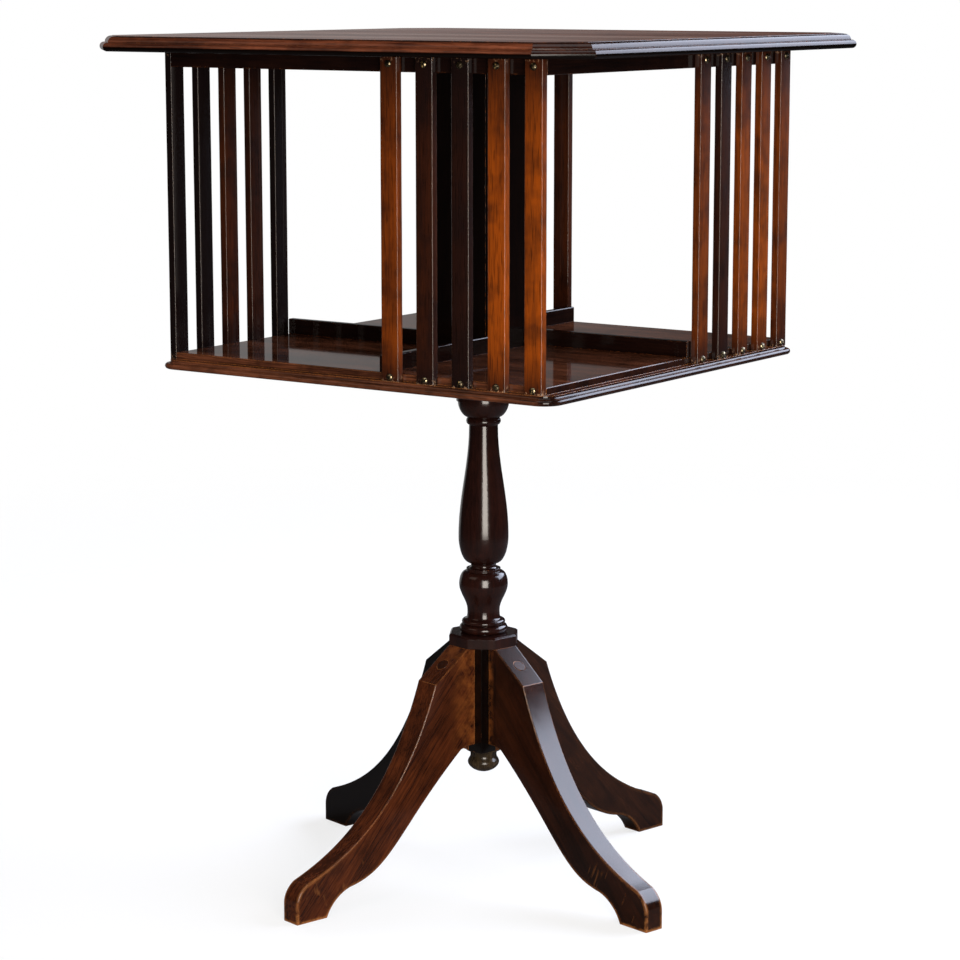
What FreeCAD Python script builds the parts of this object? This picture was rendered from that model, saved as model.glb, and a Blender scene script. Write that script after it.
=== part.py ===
# A revolving bookcase on a turned pedestal, in mahogany.
# A square case turns on a steel spindle that stands in a turned column. The column has a square block
# under an octagonal collar, four swept legs are dovetailed into the block, and a pendant closes it below.
# The case is a moulded base board, five slats on the right half of each face, a hollow square post in the
# middle, and a moulded top with canted corners. Each face is open on its left half, where books go in.
# The frame: +Z up, the origin on the turning axis at floor level, the case square to X and Y.
# Every length is in millimetres and every angle in degrees.
import FreeCAD, Part
import math
import os

V = FreeCAD.Vector
Z_AXIS = V(0, 0, 1)
ORIGIN = V(0, 0, 0)

# The case's frame, over the outside of the rails and of the upper step of the base.
FRAME_WIDTH = 388.0
RAIL_HEIGHT = 14.0
RAIL_THICK = 14.0

# Top board: how far it stands out past the frame, what a canted corner cuts off each side, thickness.
TOP_HEIGHT = 765.0
TOP_OVERHANG = 60.0
TOP_CANT = 36.0
TOP_THICK = 13.0
TOP_BEAD_R = 3.7
TOP_OVOLO_DROP = 4.4
TOP_OVOLO_REACH = 6.2
TOP_QUIRK = 0.8

# Base board: a moulded lower step that the slats stand on, and an upper step whose edge they are screwed to.
BASE_HEIGHT = 476.0
BASE_PROJECTION = 12.5
BASE_CORNER_R = 18.0
BASE_THICK = 14.0
BASE_LEDGE = 8.0
BASE_NOSE_R = 2.5
BASE_QUIRK = 0.8
BASE_COVE_REACH = 1.7
BASE_LIP = 0.8

# Slats: evenly spaced from the frame's corner in to the face of the post.
SLAT_COUNT = 5
SLAT_WIDTH = 17.0
SLAT_THICK = 7.0
SLAT_CHAMFER = 0.8

# What sandpaper takes off the arrises of the rails, post, stops and shelf.
ARRIS = 0.6

POST_WIDTH = 70.0
POST_BOARD = 9.0
FOOT_BLOCK_HEIGHT = 20.0
FOOT_BLOCK_HOLE_R = 14.0
STOP_HEIGHT = 14.0
STOP_THICK = 7.0

# Round-headed brass screws, one at each end of every slat.
SLAT_SCREW_HEAD_R = 3.2
SLAT_SCREW_DOME = 2.2
SLAT_SCREW_R = 1.4
SLAT_SCREW_GRIP = 10.0
SLAT_SCREW_LIFT = 0.2

# Countersunk steel screws in the frame and bearings.
WOOD_SCREW_HEAD_R = 3.5
WOOD_SCREW_R = 1.75
WOOD_SCREW_CONE = 2.2
TOP_SCREW_OFFSET = 110.0
TOP_SCREW_BITE = 8.0
BASE_SCREW_OFFSET = 21.5
BASE_SCREW_BITE = 14.0
PLATE_SCREW_HEAD_R = 2.6
PLATE_SCREW_R = 1.3
PLATE_SCREW_CONE = 1.6
PLATE_SCREW_LENGTH = 10.0
PLATE_SCREW_CIRCLE_R = 18.5

# The turning gear: spindle fixed in the column, bushes in the case, washer between two plates.
SPINDLE_R = 6.0
SPINDLE_DEPTH = 90.0
SPINDLE_TOP_GAP = 14.0
BUSH_CLEARANCE = 0.05
BUSH_WALL = 3.0
BUSH_STOP_SHORT = 1.0
PLATE_R = 24.0
PLATE_THICK = 2.5
WASHER_R = 14.0
WASHER_THICK = 1.5
RUNNING_GAP = 0.1
UPPER_BLOCK_THICK = 22.0
UPPER_BLOCK_DROP = 30.0
UPPER_FLANGE_R = 14.0
UPPER_FLANGE_THICK = 2.0
COLLAR_R = 11.0
COLLAR_LIFT = 0.4
COLLAR_HEIGHT = 9.0
COLLAR_PIN_R = 1.25

# The column: a square block, an octagonal collar over it, then the turning with its heights and radii.
BLOCK_HEIGHT = 120.0
BLOCK_WIDTH = 44.0
COLLAR_BASE = 217.0
OCTAGON_FLATS = 61.0
OCTAGON_THICK = 10.4
OCTAGON_CHAMFER = 1.5
TORUS_R = 22.0
TORUS_HEIGHT = 7.4
RING_STEP = 2.2
RING_HEIGHT = 4.6
WAIST_R = 14.7
WAIST_UP = 20.0
BALL_R = 22.2
BALL_UP = 44.6
BALL_TOP_UP = 56.6
BALL_TOP_R = 15.5
LIP_R = 13.0
LIP_HEIGHT = 2.6
COVE_R = 11.4
COVE_UP = 61.6
VASE_FOOT_R = 12.5
VASE_FOOT_UP = 64.1
VASE_SHOULDER_R = 18.5
BELLY_R = 22.7
BELLY_UP = 88.6
NECK_R = 13.0
NECK_DOWN = 51.4
BEAD_HEIGHT = 7.0
BEAD_SWELL = 2.6
BEAD_TOP_R = 13.6
BELL_R = 23.2
BELL_HEIGHT = 15.0
BAND_R = 24.5
BAND_HEIGHT = 3.0
ABACUS_R = 30.0
ABACUS_HEIGHT = 12.0
ABACUS_CHAMFER = 1.2
CURVE_PULL = 0.37

# The legs: measured out from the axis, and turned from the case's faces as the part stands.
LEG_TURN = -14.3
LEG_REACH = 224.5
LEG_WIDTH_ROOT = 26.0
LEG_WIDTH_TOE = 19.5
LEG_SHOULDER_REACH = 67.5
LEG_SHOULDER_HEIGHT = 190.0
LEG_TOE_HEIGHT = 28.0
LEG_TOE_LENGTH = 11.5
LEG_TOE_RISE = 6.3
LEG_TOE_ROUND = 12.0
LEG_TOE_PULL = 0.6
LEG_SOLE_LENGTH = 33.0
LEG_HEEL_HEIGHT = 22.5
LEG_HEEL_LENGTH = 26.5
LEG_ROOT_RISE = 7.0
LEG_ARMPIT = 16.0
LEG_ARRIS = 1.0
LEG_KNEE_SLOPE = -70.4
LEG_ANKLE_SLOPE = 161.0
LEG_INSTEP_SLOPE = 171.0
LEG_CALF_SLOPE = -40.0
LEG_SHIN_PULL = 0.53
LEG_ANKLE_PULL = 0.24
LEG_INSTEP_PULL = 0.29
LEG_CALF_PULL = 0.58
LEG_HEEL_BOW_OUT = 0.32
LEG_HEEL_BOW_UP = 0.55
LEG_ARMPIT_FOOT = 0.65
LEG_ARMPIT_BOW = 0.94
DOVETAIL_DEPTH = 9.0
DOVETAIL_NECK = 9.0
DOVETAIL_TAIL = 13.0
DOVETAIL_STOP = 12.0

PELLET_R = 5.5
PELLET_DEPTH = 5.0
PELLET_PROUD = 0.3
PELLET_PLACE = 0.5
LEG_SCREW_HEAD_R = 4.5
LEG_SCREW_HEAD = 3.0
LEG_SCREW_R = 2.5
LEG_SCREW_LENGTH = 62.0

PENDANT_R = 16.0
PENDANT_RIM = 3.5
PENDANT_RIM_STEP = 1.2
PENDANT_NECK_R = 12.0
PENDANT_NECK_DOWN = 8.7
PENDANT_BALL_R = 14.4
PENDANT_BALL_DOWN = 15.2
PENDANT_LENGTH = 24.5
PENDANT_DOWEL_R = 5.0
PENDANT_DOWEL = 18.0

# Heights, widths and spacing that follow from the sizes above.
TOP_WIDTH = FRAME_WIDTH + 2 * TOP_OVERHANG
BASE_WIDTH = FRAME_WIDTH + 2 * BASE_PROJECTION
TOP_UNDER = TOP_HEIGHT - TOP_THICK
RAIL_UNDER = TOP_UNDER - RAIL_HEIGHT
SHELF = BASE_HEIGHT + BASE_THICK
LEDGE = BASE_HEIGHT + BASE_LEDGE
FRAME_HALF = FRAME_WIDTH / 2
POST_HALF = POST_WIDTH / 2
POST_INNER = POST_HALF - POST_BOARD
SLAT_PITCH = (FRAME_HALF - POST_HALF - SLAT_WIDTH) / (SLAT_COUNT - 1)
SLAT_FACE = FRAME_HALF + SLAT_THICK
SLAT_TOP_SCREW = TOP_UNDER - RAIL_HEIGHT / 2
SLAT_FOOT_SCREW = LEDGE + SLAT_SCREW_LIFT + SLAT_SCREW_HEAD_R
UPPER_PLATE_UNDER = BASE_HEIGHT - PLATE_THICK
WASHER_UNDER = UPPER_PLATE_UNDER - RUNNING_GAP - WASHER_THICK
COLUMN_TOP = WASHER_UNDER - PLATE_THICK
OCTAGON_TOP = COLLAR_BASE + OCTAGON_THICK
BLOCK_HALF = BLOCK_WIDTH / 2
OCTAGON_HALF = OCTAGON_FLATS / 2
UPPER_BLOCK_TOP = TOP_UNDER - UPPER_BLOCK_DROP
UPPER_FLANGE_TOP = UPPER_BLOCK_TOP + UPPER_FLANGE_THICK
BUSH_BORE_R = SPINDLE_R + BUSH_CLEARANCE
BUSH_R = BUSH_BORE_R + BUSH_WALL
FACES = ("front", "right", "back", "left")
FAR = 2 * TOP_WIDTH
HALF_ROUND = math.sqrt(0.5)

parts = {}


def box(x0, y0, z0, x1, y1, z1):
    return Part.makeBox(x1 - x0, y1 - y0, z1 - z0, V(x0, y0, z0))


def cylinder(radius, z0, z1, x=0.0, y=0.0):
    return Part.makeCylinder(radius, z1 - z0, V(x, y, z0))


def quarter_turn(shape, quarters):
    turned_shape = shape.copy()
    turned_shape.rotate(ORIGIN, Z_AXIS, 90.0 * quarters)
    return turned_shape


def aim(shape, place, direction):
    """Carry a shape made along +Z from the origin to a place, pointing along a direction."""
    aimed = shape.copy()
    aimed.Placement = FreeCAD.Placement(place, FreeCAD.Rotation(Z_AXIS, direction))
    return aimed


def section(steps):
    """Face in the XZ plane. A step is a point, or (kind, points) for an arc or a cubic that ends there."""
    edges = []
    here = V(steps[0][0], 0, steps[0][1])
    for step in steps[1:]:
        if step[0] == "arc":
            middle, end = [V(r, 0, z) for r, z in step[1]]
            edges.append(Part.Arc(here, middle, end).toShape())
        elif step[0] == "cubic":
            poles = [here] + [V(r, 0, z) for r, z in step[1]]
            curve = Part.BezierCurve()
            curve.setPoles(poles)
            edges.append(curve.toShape())
            end = poles[-1]
        else:
            end = V(step[0], 0, step[1])
            edges.append(Part.makeLine(here, end))
        here = end
    start = V(steps[0][0], 0, steps[0][1])
    edges.append(Part.makeLine(here, start))
    return Part.Face(Part.Wire(edges))


def turned(steps):
    return section(steps).revolve(ORIGIN, Z_AXIS, 360)


def break_edges(shape, size, chosen):
    """Chamfer the edges whose bounding box the chosen() test picks."""
    return shape.makeChamfer(size, [edge for edge in shape.Edges if chosen(edge.BoundBox)])


def domed_screw(head_r, dome, shank_r, length):
    """Dome below z = 0 and shank going up from it, so that aim() points it into the wood."""
    return turned([
        (0, -dome),
        ("arc", [(head_r * HALF_ROUND, -dome * HALF_ROUND), (head_r, 0)]),
        (shank_r, 0),
        (shank_r, length),
        (0, length),
    ])


def countersunk_screw(head_r, cone, shank_r, length):
    return turned([
        (0, 0),
        (head_r, 0),
        (shank_r, cone),
        (shank_r, length),
        (0, length),
    ])


def compound(shapes):
    return Part.makeCompound(shapes)


# The top board is what eight long moulded prisms have in common, one for each side and canted corner.
def top_section(reach):
    bead_in = reach - TOP_BEAD_R
    bead_top = 2 * TOP_BEAD_R
    quirk_top = bead_top + TOP_QUIRK
    ovolo_top = quirk_top + TOP_OVOLO_DROP
    ovolo_in = bead_in - TOP_QUIRK - TOP_OVOLO_REACH
    ovolo_middle = (ovolo_in + TOP_OVOLO_REACH * HALF_ROUND, quirk_top + TOP_OVOLO_DROP * HALF_ROUND)
    return section([
        (-FAR, 0),
        (bead_in, 0),
        ("arc", [(reach, TOP_BEAD_R), (bead_in, bead_top)]),
        (bead_in - TOP_QUIRK, bead_top),
        (bead_in - TOP_QUIRK, quirk_top),
        ("arc", [ovolo_middle, (ovolo_in, ovolo_top)]),
        (ovolo_in, TOP_THICK),
        (-FAR, TOP_THICK),
    ])


def top_prism(reach, angle):
    prism = top_section(reach).extrude(V(0, 2 * FAR, 0))
    prism.translate(V(0, -FAR, TOP_UNDER))
    prism.rotate(ORIGIN, Z_AXIS, angle)
    return prism


side_reach = TOP_WIDTH / 2
cant_reach = (TOP_WIDTH - TOP_CANT) / math.sqrt(2)
top_board = top_prism(side_reach, 0)
for eighth in range(1, 8):
    reach = cant_reach if eighth % 2 else side_reach
    top_board = top_board.common(top_prism(reach, 45.0 * eighth))


# The base board's moulded step is two crossed bars and four turned corners, with the upper step on it.
def base_section(reach):
    nose_in = reach - BASE_NOSE_R
    nose_top = 2 * BASE_NOSE_R
    cove_out = nose_in - BASE_QUIRK
    cove_in = cove_out - BASE_COVE_REACH
    cove_top = BASE_LEDGE - BASE_LIP
    cove_middle = (cove_out - BASE_COVE_REACH * HALF_ROUND, cove_top - (cove_top - nose_top) * HALF_ROUND)
    return [
        (0, 0),
        (nose_in, 0),
        ("arc", [(reach, BASE_NOSE_R), (nose_in, nose_top)]),
        (cove_out, nose_top),
        ("arc", [cove_middle, (cove_in, cove_top)]),
        (cove_in, BASE_LEDGE),
        (0, BASE_LEDGE),
    ]


corner_place = BASE_WIDTH / 2 - BASE_CORNER_R
base_bar = section(base_section(BASE_WIDTH / 2)).extrude(V(0, 2 * corner_place, 0))
base_bar.translate(V(0, -corner_place, 0))
base_corner = turned(base_section(BASE_CORNER_R))
base_corner.translate(V(corner_place, corner_place, 0))
moulded_step = quarter_turn(base_bar, 0)
for quarter in range(1, 4):
    moulded_step = moulded_step.fuse(quarter_turn(base_bar, quarter))
for quarter in range(4):
    moulded_step = moulded_step.fuse(quarter_turn(base_corner, quarter))
moulded_step.translate(V(0, 0, BASE_HEIGHT))
upper_step = box(-FRAME_HALF, -FRAME_HALF, LEDGE, FRAME_HALF, FRAME_HALF, SHELF)
upper_step = break_edges(upper_step, ARRIS, lambda edge: edge.ZMin > SHELF - ARRIS)
base_board = moulded_step.fuse(upper_step).removeSplitter()

# Rails under the top, butted round the square so that each one covers the end of the last.
rail_end = FRAME_HALF - RAIL_THICK
front_rail = box(-FRAME_HALF, -FRAME_HALF, RAIL_UNDER, rail_end, -rail_end, TOP_UNDER)
front_rail = break_edges(front_rail, ARRIS, lambda edge: edge.XLength > rail_end and edge.ZMax < TOP_UNDER)
rails = [quarter_turn(front_rail, quarter) for quarter in range(4)]

# Slats: the outermost is flush with the frame's corner and the rest step in from it.
slat_screw = domed_screw(SLAT_SCREW_HEAD_R, SLAT_SCREW_DOME, SLAT_SCREW_R, SLAT_THICK + SLAT_SCREW_GRIP)
front_slats = []
front_screws = []
for place in range(SLAT_COUNT):
    middle = FRAME_HALF - SLAT_WIDTH / 2 - place * SLAT_PITCH
    blank = box(middle - SLAT_WIDTH / 2, -SLAT_FACE, LEDGE, middle + SLAT_WIDTH / 2, -FRAME_HALF, TOP_UNDER)
    outer = blank.BoundBox.YMin + SLAT_CHAMFER
    slat = break_edges(blank, SLAT_CHAMFER, lambda edge: edge.ZLength > SLAT_WIDTH and edge.YMax < outer)
    for height in (SLAT_FOOT_SCREW, SLAT_TOP_SCREW):
        screw = aim(slat_screw, V(middle, -SLAT_FACE, height), V(0, 1, 0))
        front_screws.append(screw)
        slat = slat.cut(screw)
    front_slats.append(slat)

slat_screws = []
for quarter, face in enumerate(FACES):
    for place, slat in enumerate(front_slats):
        parts["slat_%s_%d" % (face, place + 1)] = quarter_turn(slat, quarter)
    slat_screws += [quarter_turn(screw, quarter) for screw in front_screws]
parts["slat_screws"] = compound(slat_screws)

# The hollow post, its boards butted round the square, with a block at its foot.
post_board = box(-POST_HALF, -POST_HALF, SHELF, POST_INNER, -POST_INNER, TOP_UNDER)
post_board = break_edges(post_board, ARRIS, lambda edge: edge.XMax < -POST_INNER and edge.YMax < -POST_INNER)
foot_block = box(-POST_INNER, -POST_INNER, SHELF, POST_INNER, POST_INNER, SHELF + FOOT_BLOCK_HEIGHT)
foot_block = foot_block.cut(cylinder(FOOT_BLOCK_HOLE_R, SHELF, SHELF + FOOT_BLOCK_HEIGHT))
for quarter, face in enumerate(FACES):
    parts["post_board_%s" % face] = quarter_turn(post_board, quarter)

# Low stops on the shelf run in to the post and keep the books out of the next bay.
stop_rail = box(-FRAME_HALF, -POST_HALF, SHELF, -POST_HALF, STOP_THICK - POST_HALF, SHELF + STOP_HEIGHT)
stop_rail = break_edges(stop_rail, ARRIS, lambda edge: edge.ZMin > SHELF and edge.XLength > STOP_THICK)
for quarter, face in enumerate(FACES):
    parts["book_stop_%s" % face] = quarter_turn(stop_rail, quarter)

# Screws up through the rails into the top, and up through the base into the foot block.
top_screw = countersunk_screw(WOOD_SCREW_HEAD_R, WOOD_SCREW_CONE, WOOD_SCREW_R, RAIL_HEIGHT + TOP_SCREW_BITE)
base_screw = countersunk_screw(WOOD_SCREW_HEAD_R, WOOD_SCREW_CONE, WOOD_SCREW_R, BASE_THICK + BASE_SCREW_BITE)
top_screws = []
base_screws = []
for quarter in range(4):
    for side in (-1, 1):
        place = V(side * TOP_SCREW_OFFSET, RAIL_THICK / 2 - FRAME_HALF, RAIL_UNDER)
        top_screws.append(quarter_turn(aim(top_screw, place, Z_AXIS), quarter))
    place = V(BASE_SCREW_OFFSET, BASE_SCREW_OFFSET, BASE_HEIGHT)
    base_screws.append(quarter_turn(aim(base_screw, place, Z_AXIS), quarter))
parts["top_screws"] = compound(top_screws)
parts["base_screws"] = compound(base_screws)

# Turning gear, from the column's top up.
spindle = cylinder(SPINDLE_R, COLUMN_TOP - SPINDLE_DEPTH, TOP_UNDER - SPINDLE_TOP_GAP)
column_plate = cylinder(PLATE_R, COLUMN_TOP, WASHER_UNDER).cut(cylinder(SPINDLE_R, COLUMN_TOP, WASHER_UNDER))
washer_top = WASHER_UNDER + WASHER_THICK
thrust_washer = cylinder(WASHER_R, WASHER_UNDER, washer_top)
thrust_washer = thrust_washer.cut(cylinder(BUSH_BORE_R, WASHER_UNDER, washer_top))
base_bush = cylinder(PLATE_R, UPPER_PLATE_UNDER, BASE_HEIGHT).fuse(
    cylinder(BUSH_R, BASE_HEIGHT, SHELF - BUSH_STOP_SHORT))
base_bush = base_bush.cut(cylinder(BUSH_BORE_R, UPPER_PLATE_UNDER, SHELF))

plate_screw = countersunk_screw(PLATE_SCREW_HEAD_R, PLATE_SCREW_CONE, PLATE_SCREW_R, PLATE_SCREW_LENGTH)
column_plate_screws = []
bush_screws = []
for quarter in range(4):
    down = aim(plate_screw, V(PLATE_SCREW_CIRCLE_R, 0, WASHER_UNDER), V(0, 0, -1))
    column_plate_screws.append(quarter_turn(down, quarter))
    up = aim(plate_screw, V(PLATE_SCREW_CIRCLE_R, 0, UPPER_PLATE_UNDER), Z_AXIS)
    bush_screws.append(quarter_turn(up, quarter))
parts["column_plate_screws"] = compound(column_plate_screws)
parts["base_bush_screws"] = compound(bush_screws)

upper_block_under = UPPER_BLOCK_TOP - UPPER_BLOCK_THICK
upper_block = box(-POST_INNER, -POST_INNER, upper_block_under, POST_INNER, POST_INNER, UPPER_BLOCK_TOP)
upper_bush = cylinder(BUSH_R, upper_block_under, UPPER_BLOCK_TOP)
upper_block = upper_block.cut(upper_bush)
upper_bush = upper_bush.fuse(cylinder(UPPER_FLANGE_R, UPPER_BLOCK_TOP, UPPER_FLANGE_TOP))
upper_bush = upper_bush.cut(cylinder(BUSH_BORE_R, upper_block_under, UPPER_FLANGE_TOP))
collar_under = UPPER_FLANGE_TOP + COLLAR_LIFT
retaining_collar = cylinder(COLLAR_R, collar_under, collar_under + COLLAR_HEIGHT)
pin_height = collar_under + COLLAR_HEIGHT / 2
collar_pin = Part.makeCylinder(COLLAR_PIN_R, 2 * COLLAR_R, V(-COLLAR_R, 0, pin_height), V(1, 0, 0))
retaining_collar = retaining_collar.cut(spindle).cut(collar_pin)
spindle = spindle.cut(collar_pin)

# Holes in the wood for what passes through it.
for tool in top_screws:
    top_board = top_board.cut(tool)
    rails = [rail.cut(tool) for rail in rails]
for tool in slat_screws:
    if tool.BoundBox.Center.z > SHELF:
        rails = [rail.cut(tool) for rail in rails]
    else:
        base_board = base_board.cut(tool)
for tool in base_screws + bush_screws:
    base_board = base_board.cut(tool)
for tool in base_screws:
    foot_block = foot_block.cut(tool)
for tool in bush_screws:
    base_bush = base_bush.cut(tool)
for tool in column_plate_screws:
    column_plate = column_plate.cut(tool)
base_board = base_board.cut(cylinder(BUSH_R, BASE_HEIGHT, SHELF))

parts["top_board"] = top_board
parts["base_board"] = base_board
parts["post_foot_block"] = foot_block
parts["upper_bearing_block"] = upper_block
parts["spindle"] = spindle
parts["column_plate"] = column_plate
parts["thrust_washer"] = thrust_washer
parts["base_bush"] = base_bush
parts["upper_bush"] = upper_bush
parts["retaining_collar"] = retaining_collar
parts["collar_pin"] = collar_pin
for face, rail in zip(FACES, rails):
    parts["top_rail_%s" % face] = rail


def upright_curve(start, end):
    """A cubic between two points of an outline that leaves the one and meets the other upright."""
    pull = (end[1] - start[1]) * CURVE_PULL
    return ("cubic", [(start[0], start[1] + pull), (end[0], end[1] - pull), end])


def half_round(inner, bulge, z0, z1):
    return ("arc", [(inner + bulge, (z0 + z1) / 2), (inner, z1)])


# The column's turning, from the collar up: torus, ring, waist, ball, cove, vase, neck, bead, bell and abacus.
def column_outline():
    foot = OCTAGON_TOP
    torus_in = TORUS_R - TORUS_HEIGHT / 2
    torus_top = foot + TORUS_HEIGHT
    ring_in = TORUS_R - RING_STEP - RING_HEIGHT / 2
    ring_top = torus_top + RING_HEIGHT
    waist = (WAIST_R, foot + WAIST_UP)
    ball = (BALL_R, foot + BALL_UP)
    ball_top = foot + BALL_TOP_UP
    belly = (BELLY_R, foot + BELLY_UP)
    vase_foot = foot + VASE_FOOT_UP
    neck = (NECK_R, COLUMN_TOP - NECK_DOWN)
    bead_top = neck[1] + BEAD_HEIGHT
    bell = (BELL_R, bead_top + BELL_HEIGHT)
    band_top = bell[1] + BAND_HEIGHT
    abacus = COLUMN_TOP - ABACUS_HEIGHT
    abacus_in = ABACUS_R - ABACUS_CHAMFER
    ball_shoulder = (BALL_R - RING_STEP, ball_top)
    band_shoulder = ((BAND_R + abacus_in) / 2, abacus)
    return [
        (0, foot),
        (torus_in, foot),
        half_round(torus_in, TORUS_HEIGHT / 2, foot, torus_top),
        (ring_in, torus_top),
        half_round(ring_in, RING_HEIGHT / 2, torus_top, ring_top),
        ("cubic", [(WAIST_R, ring_top), (WAIST_R, (ring_top + waist[1]) / 2), waist]),
        upright_curve(waist, ball),
        ("cubic", [(BALL_R, (ball[1] + ball_top) / 2), ball_shoulder, (BALL_TOP_R, ball_top)]),
        (BALL_TOP_R, ball_top + LIP_HEIGHT),
        (LIP_R, ball_top + LIP_HEIGHT),
        ("arc", [(COVE_R, foot + COVE_UP), (VASE_FOOT_R, vase_foot)]),
        ("cubic", [(VASE_SHOULDER_R, vase_foot), (BELLY_R, (vase_foot + belly[1]) / 2), belly]),
        upright_curve(belly, neck),
        ("arc", [(NECK_R + BEAD_SWELL, neck[1] + BEAD_HEIGHT / 2), (BEAD_TOP_R, bead_top)]),
        ("cubic", [((BEAD_TOP_R + BELL_R) / 2, bead_top), (BELL_R, (bead_top + bell[1]) / 2), bell]),
        (BAND_R, bell[1]),
        (BAND_R, band_top),
        ("cubic", [(BAND_R, (band_top + abacus) / 2), band_shoulder, (abacus_in, abacus)]),
        (ABACUS_R, abacus + ABACUS_CHAMFER),
        (ABACUS_R, COLUMN_TOP - ABACUS_CHAMFER),
        (abacus_in, COLUMN_TOP),
        (0, COLUMN_TOP),
    ]


def octagon(flats, z0, z1):
    """A prism with a flat square to each of the block's faces and each of its corners."""
    half_side = flats / 2 * math.tan(math.pi / 8)
    corner = V(flats / 2, half_side, z0)
    corners = []
    for eighth in range(8):
        corners.append(FreeCAD.Rotation(Z_AXIS, 45.0 * eighth).multVec(corner))
    return Part.Face(Part.makePolygon(corners + corners[:1])).extrude(V(0, 0, z1 - z0))


column = turned(column_outline())
octagon_collar = octagon(OCTAGON_FLATS, COLLAR_BASE, OCTAGON_TOP)
octagon_collar = break_edges(octagon_collar, OCTAGON_CHAMFER, lambda edge: edge.ZMin > COLLAR_BASE)
column = column.fuse(octagon_collar)
column = column.fuse(box(-BLOCK_HALF, -BLOCK_HALF, BLOCK_HEIGHT, BLOCK_HALF, BLOCK_HALF, COLLAR_BASE))
column = column.cut(spindle)
for tool in column_plate_screws:
    unturned = tool.copy()
    unturned.rotate(ORIGIN, Z_AXIS, -LEG_TURN)
    column = column.cut(unturned)


def handle(point, angle, length):
    """The pole of a cubic that lies at a length and angle from a point of the outline."""
    turn = math.radians(angle)
    return (point[0] + length * math.cos(turn), point[1] + length * math.sin(turn))


# One leg, in the XZ plane and pointing along +X. It is turned into place with the column below.
# Its back runs from the collar over a knee to the toe, and its underside from the heel up to the block.
def leg_outline():
    knee = (LEG_SHOULDER_REACH, LEG_SHOULDER_HEIGHT)
    toe_back = (LEG_REACH - LEG_TOE_LENGTH, LEG_TOE_HEIGHT + LEG_TOE_RISE)
    back_run = math.hypot(toe_back[0] - knee[0], toe_back[1] - knee[1])
    heel = LEG_REACH - LEG_SOLE_LENGTH
    hollow = (heel - LEG_HEEL_LENGTH, LEG_HEEL_HEIGHT)
    heel_middle = (heel - LEG_HEEL_LENGTH * LEG_HEEL_BOW_OUT, LEG_HEEL_HEIGHT * LEG_HEEL_BOW_UP)
    armpit = (BLOCK_HALF + LEG_ARMPIT, BLOCK_HEIGHT + LEG_ROOT_RISE * LEG_ARMPIT_FOOT)
    armpit_middle = (BLOCK_HALF + LEG_ARMPIT / 2, BLOCK_HEIGHT + LEG_ROOT_RISE * LEG_ARMPIT_BOW)
    under_run = math.hypot(hollow[0] - armpit[0], hollow[1] - armpit[1])
    shin = handle(knee, LEG_KNEE_SLOPE, LEG_SHIN_PULL * back_run)
    ankle = handle(toe_back, LEG_ANKLE_SLOPE, LEG_ANKLE_PULL * back_run)
    instep = handle(hollow, LEG_INSTEP_SLOPE, LEG_INSTEP_PULL * under_run)
    calf = handle(armpit, LEG_CALF_SLOPE, LEG_CALF_PULL * under_run)
    toe_top = (LEG_REACH - LEG_TOE_LENGTH * (1 - LEG_TOE_PULL),
               LEG_TOE_HEIGHT + LEG_TOE_RISE * (1 - LEG_TOE_PULL))
    toe_front = (LEG_REACH, LEG_TOE_HEIGHT - LEG_TOE_ROUND * (1 - LEG_TOE_PULL))
    return [
        (BLOCK_HALF, COLLAR_BASE),
        (OCTAGON_HALF, COLLAR_BASE),
        knee,
        ("cubic", [shin, ankle, toe_back]),
        ("cubic", [toe_top, toe_front, (LEG_REACH, LEG_TOE_HEIGHT - LEG_TOE_ROUND)]),
        (LEG_REACH, 0),
        (heel, 0),
        ("arc", [heel_middle, hollow]),
        ("cubic", [instep, calf, armpit]),
        ("arc", [armpit_middle, (BLOCK_HALF, BLOCK_HEIGHT + LEG_ROOT_RISE)]),
    ]


def plan_prism(corners, z0, z1):
    points = [V(x, y, z0) for x, y in corners]
    return Part.Face(Part.makePolygon(points + points[:1])).extrude(V(0, 0, z1 - z0))


blank = section(leg_outline()).extrude(V(0, LEG_WIDTH_ROOT, 0))
blank.translate(V(0, -LEG_WIDTH_ROOT / 2, 0))
root = LEG_WIDTH_ROOT / 2
toe = LEG_WIDTH_TOE / 2
taper_plan = [(BLOCK_HALF, -root), (LEG_REACH, -toe), (LEG_REACH, toe), (BLOCK_HALF, root)]
leg = blank.common(plan_prism(taper_plan, 0, COLLAR_BASE))


def long_arris(edge):
    """True for an edge that runs along the leg's side, past the collar and above the sole."""
    extent = edge.BoundBox
    alongside = extent.XMax > OCTAGON_HALF and extent.YLength < toe
    return alongside and extent.ZMax > 0 and edge.Length > LEG_TOE_LENGTH


leg = leg.makeFillet(LEG_ARRIS, [edge for edge in leg.Edges if long_arris(edge)])
neck = DOVETAIL_NECK / 2
tail = DOVETAIL_TAIL / 2
tail_reach = BLOCK_HALF - DOVETAIL_DEPTH
dovetail = plan_prism([(tail_reach, -tail), (BLOCK_HALF, -neck), (BLOCK_HALF, neck), (tail_reach, tail)],
                      BLOCK_HEIGHT, COLLAR_BASE - DOVETAIL_STOP)
leg = leg.fuse(dovetail)

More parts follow.
